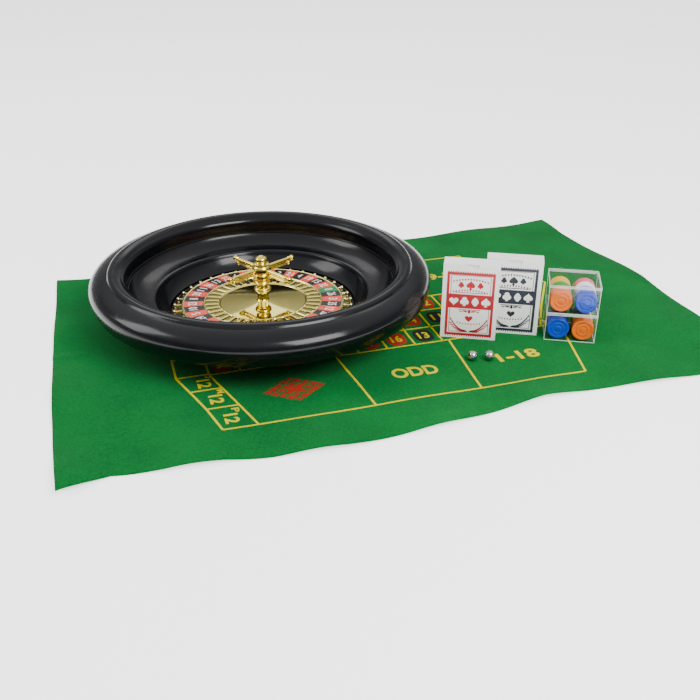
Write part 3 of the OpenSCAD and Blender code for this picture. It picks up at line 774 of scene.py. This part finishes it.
# a shallow cone up to the turret, a bead, then a band of ribs: the rib's height follows a steep logistic of
# the cosine of the angle times the number of pockets, which leaves narrow gaps
def dishGrid():
    g = dishSpec
    r = np.concatenate([np.linspace(g["in"], g["smooth"], 26), [51.6, 52.2, 52.8, 53.4, 54.0],
                        np.linspace(54.3, 68.6, 14), [69.0, 69.4, 69.7, 69.7, g["in"]]])
    t = np.arange(g["samples"]) * 2 * np.pi / g["samples"]
    flat = np.where(r < g["flat"], g["low"] + g["rise"] * np.clip(1 - r / g["flat"], 0, 1), g["band"])
    flat += g["beadHigh"] * np.exp(-((r - g["bead"]) / g["beadHigh"]) ** 2)
    ribbed = (smoothStep((r - 53.6) / 0.8) * smoothStep((69.2 - r) / 0.5))[:, None]
    rib = 1 / (1 + np.exp(-9 * (np.cos(pockets * t + np.pi) + 0.45)))
    z = flat[:, None] - ribbed * g["rib"] * (1 - rib) + g["crown"] * ribbed * rib
    z[-2:] = g["under"]
    points = np.stack([r[:, None] * np.cos(t), r[:, None] * np.sin(t), z], -1)
    faces = quads(len(r), g["samples"], True, True)[:, ::-1]
    # the faces deep in the gaps, which take a painted shade
    gapShadeMask = (ribbed * (1 - rib)).reshape(-1)[faces].mean(1) > g["gapFrom"]
    return points.reshape(-1, 3) * mm, faces, gapShadeMask


dishPoints, dishFaces, gapShadeMask = dishGrid()
dish = made("rotor_dish", dishPoints, dishFaces, mats["dishGold"])
# faces deep in the rib gaps get the near-black gold, a painted shade
dish.data.materials.append(mats["ribGapShade"])
dish.data.polygons.foreach_set("material_index", gapShadeMask.astype(np.int32))
ridden(dish, "rotor", ["gold_dish"], dishSpec["sharp"])

fretSpec = {"in": 97.6, "post": 106.4, "floor": 11.5, "sag": 0.16, "sharp": 50,
            "section": [(-0.6, 0), (-0.6, 4.5), (-0.38, 5.0), (0, 5.2), (0.38, 5.0), (0.6, 4.5), (0.6, 0)],
            "postProfile": [(2.1, 11.5), (2.1, 12.1), (1.75, 12.5), (1.6, 13.4), (1.65, 14.2), (2.05, 14.8),
                            (2.15, 15.5), (1.95, 16.3), (1.4, 16.9), (0.7, 17.15), (0.02, 17.2)]}


# one divider: a thin wall whose section sinks by a half sine between its ends, and a beaded post outside
def fretChunks():
    g = fretSpec
    x = np.linspace(g["in"], g["post"], 7)[:, None]
    section = np.array(g["section"])
    sag = 1 - g["sag"] * np.sin((x - g["in"]) / (g["post"] - g["in"]) * np.pi)
    wall = np.stack([x + 0 * section[:, 0], 0 * x + section[:, 0], g["floor"] + sag * section[:, 1]], -1)
    p, f = turned(g["postProfile"], 18, False)
    return [(wall.reshape(-1, 3) * mm, quads(7, 7)), (p + np.array([g["post"] * mm, 0, 0]), f)]


frets = made("pocket_cast_frets", *joined(spun(fretChunks(), pockets)), mats["paleGold"])
ridden(frets, "rotor", ["pocket_frets"], fretSpec["sharp"])
print("turret, dish and frets made")

# card boxes; the places are of their front left corners
boxSpec = {"w": 63.0, "d": 18.0, "h": 92.0, "base": 1.0, "red": (182, -119), "black": (233.6, -121.6),
          "proud": 0.05}
# the design, in shares of the face's width and height, with line widths and sizes in mm
artSpec = {
    "frames": [((0.075, 0.925), (0.04, 0.885), 3.0), ((0.145, 0.855), (0.085, 0.85), 0.7)],
    "slabs": [((0.12, 0.88), (0.41, 0.60)), ((0.22, 0.78), (0.618, 0.628)), ((0.30, 0.70), (0.388, 0.398))],
    "teeth": 20, "toothWide": 1.1, "toothHigh": 1.7,
    "bows": [(13, 0.3, 0.80, -3.0, 2.6), (13, 0.3, 0.655, -2.2, 2.4)], "lowBow": [(9, 0.2, 0.2, 1.2, 2.2)],
    "pips": [("club", 0.33, 0.722, 7.5), ("spade", 0.5, 0.722, 10.5), ("club", 0.67, 0.722, 7.5)],
    "lowPips": [("diamond", 0.5, 0.368, 4.6), ("heart", 0.5, 0.275, 9.5)],
    # climbing leaves: way out, its run, height, its rise, size, its change, turn, its change
    "leaves": 9,
    "sprays": [(0.06, 0.26, 0.105, 0.15, 6.5, -1.5, 20, 50), (0.08, 0.25, 0.095, 0.11, 4.6, 0, -30, 40)],
    "crestLeaves": [(4.5, 0.372, 6.5, 10), (9.5, 0.368, 4.5, -12)],
    "bandPips": [("heart", 0.215), ("club", 0.405), ("diamond", 0.595), ("spade", 0.785)],
    "bandZ": 0.505, "bandPip": 11,
    "side": [((0.16, 0.84), (0.04, 0.885), 1.6)], "sideSlabs": [((0.2, 0.8), (0.41, 0.60))],
    "sidePips": (0.2, 0.7),
}


# moves points, given from a front left corner, onto the felt: turned, then moved, in metres
def placed(points, at, base=0.0):
    return (rotated(points, standTurn) + np.array([*at, base])) * mm


# the four corners of a rectangle
def corners(x0, x1, z0, z1):
    return [(x0, z0), (x1, z0), (x1, z1), (x0, z1)]


# a flat ring between a rectangle and a smaller one, of even width t
def ringOf(x0, x1, z0, z1, t):
    points = corners(x0, x1, z0, z1) + corners(x0 + t, x1 - t, z0 + t, z1 - t)
    return np.array(points, float), [[k, (k + 1) % 4, 4 + (k + 1) % 4, 4 + k] for k in range(4)]


# frames and slabs of a face, from their shares of its width and height
def panels(wide, high, frames, slabs):
    scale = np.array([wide, wide, high, high])
    art = [ringOf(*np.ravel((x, z)) * scale, t) for x, z, t in frames]
    return art + [outline(np.array(corners(*np.ravel(slab) * scale))) for slab in slabs]


# outlines of the four pips: a superellipse, three lobes by a cosine of 1.5 times the angle, and the heart
# curve (16 sin^3, 13 cos - 5 cos 2t - 2 cos 3t - cos 4t), which upside down is the spade
def pip(kind, x, z, size):
    at = np.array([x, z])
    t = np.linspace(0, 2 * np.pi, 40, endpoint=False)
    if kind == "diamond":
        p = oval(0.36, 0.5, 1.4, 40)
    elif kind == "club":
        r = 0.30 + 0.17 * np.abs(np.cos(1.5 * (t - np.pi / 2)))
        p = np.stack([r * np.cos(t), r * np.sin(t) + 0.03], -1)
    else:
        t = t if kind == "spade" else -t
        heart = 13 * np.cos(t) - 5 * np.cos(2 * t) - 2 * np.cos(3 * t) - np.cos(4 * t)
        p = np.stack([16 * np.sin(t) ** 3, heart], -1) / 34
        if kind == "spade":
            p = p * np.array([1, -1]) + np.array([0, 0.05])
    shapes = [outline(p * size + at)]
    if kind in ("spade", "club"):
        foot = np.array([(-0.16, -0.5), (0.16, -0.5), (0.04, -0.1), (-0.04, -0.1)])
        shapes.append(outline(foot * size + at))
    return shapes


# a leaf: (0.5 cos, 0.16 sin times the root of its size), turned by degrees
def leaf(x, z, size, turn):
    t = np.linspace(0, 2 * np.pi, 16, endpoint=False)
    p = np.stack([0.5 * np.cos(t), 0.16 * np.sin(t) * np.abs(np.sin(t)) ** 0.5], -1) * size
    return [outline(rotated(p, turn) + np.array([x, z]))]


# a bowed row of lozenges: the height changes by the square of the way from the middle
def bowRow(w, h, count, half, z, bow, size):
    row = []
    for t in np.linspace(-1, 1, count):
        row += pip("diamond", 0.5 * w + t * half * w, z * h + bow * t * t, size)
    return row


# one broad face in its own x and z: frames with teeth, a band, two bowed rows round pips in the upper
# panel, and leaves that climb both lower corners round a heart
def faceArt(w, h):
    g = artSpec
    art = panels(w, h, g["frames"], g["slabs"])
    low, high = g["frames"][0][1]
    for x in np.linspace(0.1 * w, 0.9 * w, g["teeth"]):
        for z, way in ((high * h, 1), (low * h, -1)):
            tooth = [(x - g["toothWide"], z), (x + g["toothWide"], z), (x, z + way * g["toothHigh"])]
            art.append(outline(np.array(tooth)[::way]))
    for row in g["bows"]:
        art += bowRow(w, h, *row)
    for kind, x, z, size in g["pips"]:
        art += pip(kind, x * w, z * h, size)
    for way in (-1, 1):
        for t in np.linspace(0, 1, g["leaves"]):
            for out, outRun, up, rise, size, grow, turn, turnRun in g["sprays"]:
                x = 0.5 * w + way * w * (out + outRun * t)
                art += leaf(x, h * (up + rise * t * t), size + grow * t, way * (turn + turnRun * t))
        for out, z, size, turn in g["crestLeaves"]:
            art += leaf(0.5 * w + way * out, z * h, size, way * turn)
    for kind, x, z, size in g["lowPips"]:
        art += pip(kind, x * w, z * h, size)
    for row in g["lowBow"]:
        art += bowRow(w, h, *row)
    return joined(art)


# the same for a narrow side: a frame, a slab and two pips
def sideArt(d, h):
    g = artSpec
    art = panels(d, h, g["side"], g["sideSlabs"])
    for z in g["sidePips"]:
        art += pip("diamond", 0.5 * d, z * h, 6)
    return joined(art)


# flat art on a wall of a box that stands across y or across x, at a distance along that axis
def onWall(art, axis, away, flip=False):
    p, faces = art
    upright = np.insert(p, 0 if axis == "x" else 1, away, axis=1)
    return upright, [face[::-1] for face in faces] if flip else faces


w, d, h, proud = (boxSpec[k] for k in ("w", "d", "h", "proud"))
broadArt, narrowArt = faceArt(w, h), sideArt(d, h)
bandZ, bandPip = artSpec["bandZ"] * h, artSpec["bandPip"]
bandArt = joined([chunk for kind, x in artSpec["bandPips"] for chunk in pip(kind, x * w, bandZ, bandPip)])
inkWalls = joined([onWall(broadArt, "y", -proud), onWall(broadArt, "y", d + proud, True),
                   onWall(narrowArt, "x", -proud, True), onWall(narrowArt, "x", w + proud)])
paleWalls = joined([onWall(bandArt, "y", -2 * proud), onWall(bandArt, "y", d + 2 * proud, True)])
for tint, ink in (("red", "inkRed"), ("black", "inkNavy")):
    for name, (p, f), look in (("_box_print", inkWalls, ink), ("_box_pale_print", paleWalls, "paper")):
        piece = made(tint + name, placed(p, boxSpec[tint], boxSpec["base"]), f, mats[look], False)
        ridden(piece, tint + "_box")
print("card boxes printed")

# clear cases, and the rows of chips in them as (colour, left or right row, first, last)
caseSpec = {"at": (293, -162), "w": 57.0, "d": 50.0, "tray": 32.0, "lid": 2.0, "wall": 1.5, "lower": 1.0,
            "upper": 35.02, "row": 13.875, "edge": 0.5, "seam": 0.06,
            "inset": {"tray": (0.5, 0.5, 0.44), "lid": (0, 0, 0)}}
chipRows = {
    "lower": [("blue", 0, 0, 7), ("violet", 0, 8, 15), ("green", 0, 16, 23), ("orange", 1, 0, 7),
              ("yellow", 1, 8, 15), ("white", 1, 16, 23)],
    "upper": [("orange", 0, 0, 9), ("green", 0, 10, 15), ("yellow", 0, 16, 23), ("blue", 1, 0, 6),
              ("lavender", 1, 7, 11), ("white", 1, 12, 17), ("pink", 1, 18, 23)],
}
# one side of a chip's section as (radius, height over the middle): hub, groove, raised ring, notched rim
chipSpec = {"radius": 12.5, "pitch": 1.9, "thick": 1.85, "start": 0.4, "turn": math.degrees(0.7),
            "samples": 56, "notches": 14, "notch": 0.012, "rimFrom": 12, "sharp": 50,
            "side": [(0, 0.62), (3.2, 0.62), (3.6, 0.45), (5.6, 0.45), (6.0, 0.72), (6.8, 0.74), (7.2, 0.5),
                     (9.2, 0.5), (9.7, 0.86), (11.2, 0.925), (11.9, 0.86), (12.3, 0.55)]}


# one chip about its own axis as (across, up, along): its section turned full circle, with the rim notched
# where the cosine of fourteen times the angle is high
def chipGrid():
    g = chipSpec
    profile = np.array(g["side"] + [(r, -z) for r, z in g["side"][::-1]])
    t = np.arange(g["samples"]) * 2 * np.pi / g["samples"]
    notched = 1 - g["notch"] * (np.cos(t * g["notches"]) > 0.4)
    r = np.maximum(profile[:, :1], 1e-3) * np.where(profile[:, :1] > g["rimFrom"], notched, 1)
    points = np.stack([r * np.cos(t), r * np.sin(t), np.repeat(-profile[:, 1:], g["samples"], 1)], -1)
    return points.reshape(-1, 3), quads(len(profile), g["samples"], False, True)[:, ::-1]


# chips first to last of a row, each a step further back and turned further, on a case's place
def chipStack(level, row, first, last):
    chip, faces = chipGrid()
    chunks = []
    for i in range(first, last + 1):
        x, z, y = rotated(chip, chipSpec["turn"] * i).T
        x = x + caseSpec["w"] / 2 + (-1, 1)[row] * caseSpec["row"]
        y = y + caseSpec["wall"] + chipSpec["start"] + i * chipSpec["pitch"] + chipSpec["thick"] / 2
        z = z + caseSpec["wall"] + chipSpec["radius"]
        chunks.append((placed(np.stack([x, y, z], -1), caseSpec["at"], caseSpec[level]), faces))
    return joined(chunks)


for level, rows in chipRows.items():
    for tint, row, first, last in rows:
        name = level + "_chips_" + tint
        chips = made(name + "_moulded", *chipStack(level, row, first, last), mats["chip_" + tint])
        ridden(chips, level + "_case", [name], chipSpec["sharp"])
print("chips moulded")


barFaces = [[0, 1, 3, 2], [4, 6, 7, 5], [0, 4, 5, 1], [2, 3, 7, 6], [0, 2, 6, 4], [1, 5, 7, 3]]


# thin square bars on a box's twelve edges, a painted highlight of clear walls; far ones stand in by an
# inset
def edgeBars(low, high, t, inset):
    low, high = np.array(low, float), np.array(high, float)
    far = high - t - np.array(inset)
    bars = []
    for axis in range(3):
        a, b = [k for k in range(3) if k != axis]
        for atHighA in (0, 1):
            for atHighB in (0, 1):
                start, end = low.copy(), high.copy()
                start[a] = far[a] if atHighA else low[a]
                start[b] = far[b] if atHighB else low[b]
                end[a], end[b] = start[a] + t, start[b] + t
                corner = np.meshgrid(*zip(start, end), indexing="ij")
                bars.append((np.stack(corner, -1).reshape(8, 3), barFaces))
    return joined(bars)


# the bars stop a hair short of the seam between tray and lid, and of the case above
tray, lid, seam = caseSpec["tray"], caseSpec["lid"], caseSpec["seam"]
spans = [("tray", "_case", 0, tray - seam), ("lid", "_case_lid", tray + seam, tray + lid - seam)]
for level in ("lower", "upper"):
    for part, body, zLow, zHigh in spans:
        size = (caseSpec["w"], caseSpec["d"], zHigh)
        p, f = edgeBars((0, 0, zLow), size, caseSpec["edge"], caseSpec["inset"][part])
        p = placed(p, caseSpec["at"], caseSpec[level])
        name = level + "_" + part
        # pale bars that paint the highlight along the case's edges
        bars = made(name + "_edges", p, f, mats["clearEdgeHighlight"], False)
        ridden(bars, level + body)
print("case edges made")

# materials of the nodes that stay
nodeMats = {
    "blackPlastic": ["bowl_base", "rotor_pan", "rotor_core"],
    "dullSteel": ["base_screws", "lower_hinge_pin", "upper_hinge_pin"],
    "rubber": ["foot_pads"], "steel": ["rotor_spindle", "ball_left", "ball_right"],
    "nylon": ["thrust_washer"],
    "brass": ["hub_bush"], "paleGold": ["pocket_wall", "ring_outer_trim", "ring_inner_trim"],
    "cellRed": ["cells_red"], "cellBlack": ["cells_black"], "cellGreen": ["cell_zero"],
    "clear": ["lower_tray", "lower_lid", "upper_tray", "upper_lid"], "deck": ["red_deck", "black_deck"],
    "paper": ["red_carton", "red_flap", "red_tongue", "black_carton", "black_flap", "black_tongue"],
}
for look, names in nodeMats.items():
    for name in names:
        for slot in nodes[name].material_slots:
            slot.material = mats[look]
print("nodes dressed:", sum(len(names) for names in nodeMats.values()))
